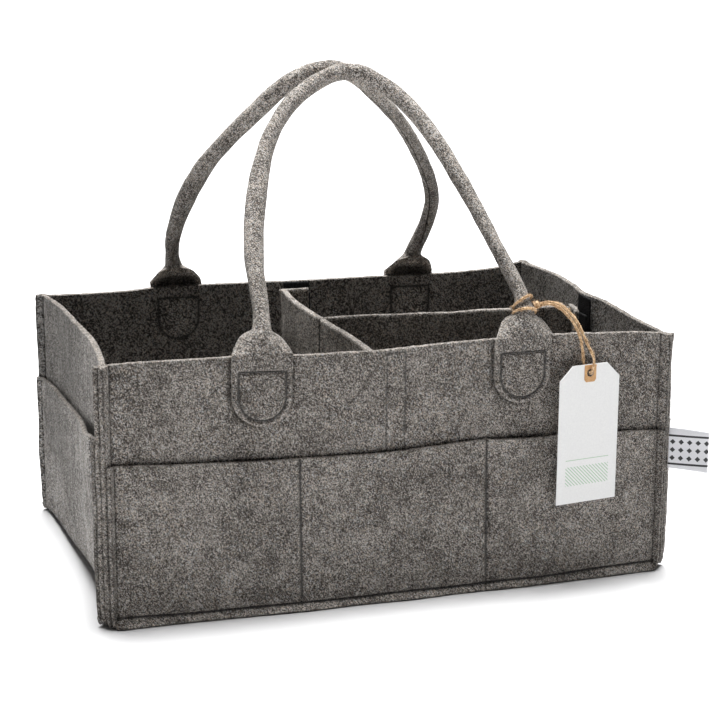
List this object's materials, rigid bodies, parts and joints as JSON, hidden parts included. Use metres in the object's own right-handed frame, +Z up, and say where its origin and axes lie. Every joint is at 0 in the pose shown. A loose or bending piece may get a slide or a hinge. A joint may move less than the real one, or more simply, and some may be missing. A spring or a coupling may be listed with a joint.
{
  "type": "diaper caddy",
  "caption": "Open felt storage caddy with outside pockets, rolled carrying handles, a lift-out T divider on hook-and-loop tape, a plain hang tag on twine and a plain side label.",
  "frame": {"origin": "middle of the underside of the base, on the surface the caddy stands on", "axes": "+X along the long side to the right, -Y to the front, +Z up"},
  "size_m": [0.4096, 0.2741, 0.336],
  "materials": {
    "body_felt": "grey melange needled felt, matt, cut edges",
    "pocket_felt": "grey melange needled felt, matt, thinner cut",
    "divider_felt": "grey melange needled felt, matt",
    "hook_and_loop": "black hook-and-loop tape",
    "thread": "grey sewing thread",
    "twine": "tan jute twine, twisted",
    "card": "white uncoated card, plain printed lines",
    "kraft": "brown kraft paper patch",
    "label": "white woven ribbon, plain woven lines"
  },
  "bodies": {
    "caddy": {"base_and_ends": "body_felt", "front_panel": "body_felt", "rear_panel": "body_felt", "front_pocket": "pocket_felt", "rear_pocket": "pocket_felt", "left_pocket": "pocket_felt", "right_pocket": "pocket_felt", "front_loop_tape": "hook_and_loop", "rear_loop_tape": "hook_and_loop", "end_loop_tape": "hook_and_loop", "front_handle_tab_left": "body_felt", "front_handle_tab_right": "body_felt", "rear_handle_tab_left": "body_felt", "rear_handle_tab_right": "body_felt", "side_label": "label", "front_base_seam_thread": "thread", "front_pocket_seam_thread_left": "thread", "front_pocket_seam_thread_right": "thread", "front_tape_thread": "thread", "front_tab_thread_left": "thread", "front_tab_thread_right": "thread", "rear_base_seam_thread": "thread", "rear_pocket_seam_thread_left": "thread", "rear_pocket_seam_thread_right": "thread", "rear_tape_thread": "thread", "rear_tab_thread_left": "thread", "rear_tab_thread_right": "thread", "end_tape_thread": "thread", "front_left_corner_thread": "thread", "front_right_corner_thread": "thread", "rear_left_corner_thread": "thread", "rear_right_corner_thread": "thread"},
    "front_handle_body": {"front_handle": "body_felt", "twine_loop_lower": "twine", "twine_loop_upper": "twine"},
    "rear_handle_body": {"rear_handle": "body_felt"},
    "divider_insert": {"cross_divider": "divider_felt", "front_divider_foot": "divider_felt", "rear_divider_foot": "divider_felt", "front_hook_tape": "hook_and_loop", "rear_hook_tape": "hook_and_loop", "divider_seam_thread": "thread"},
    "divider_wing": {"long_divider": "divider_felt", "end_divider_foot": "divider_felt", "end_hook_tape": "hook_and_loop"},
    "tag_twine": {"twine_strand_right": "twine", "twine_strand_left": "twine"},
    "tag_body": {"tag_card": "card", "tag_patch_front": "kraft", "tag_patch_rear": "kraft"}
  },
  "joints": [
    {"name": "front_handle_swing", "type": "hinge", "parent": "caddy", "child": "front_handle_body", "pos_m": [0, -0.129, 0.1572], "axis": [1, 0, 0], "range_deg": [0, 125]},
    {"name": "rear_handle_swing", "type": "hinge", "parent": "caddy", "child": "rear_handle_body", "pos_m": [0, 0.129, 0.1572], "axis": [-1, 0, 0], "range_deg": [0, 125]},
    {"name": "divider_lift", "type": "slide", "parent": "caddy", "child": "divider_insert", "axis": [0, 0, 1], "range_m": [0, 0.147]},
    {"name": "divider_wing_swing", "type": "hinge", "parent": "divider_insert", "child": "divider_wing", "pos_m": [-0.003, 0.006, 0], "axis": [0, 0, 1], "range_deg": [-15, 15]},
    {"name": "tag_hang", "type": "hinge", "parent": "front_handle_body", "child": "tag_twine", "pos_m": [0.098, -0.1165, 0.1888], "axis": [1, 0, 0], "range_deg": [-125, 0]},
    {"name": "tag_card_swing", "type": "hinge", "parent": "tag_twine", "child": "tag_body", "pos_m": [0.1284, -0.134, 0.1434], "axis": [-0.9893, -0.1461, 0], "range_deg": [0, 20]}
  ],
  "couplings": [
    {"joint": "tag_hang", "follows": "front_handle_swing", "ratio": -1}
  ]
}
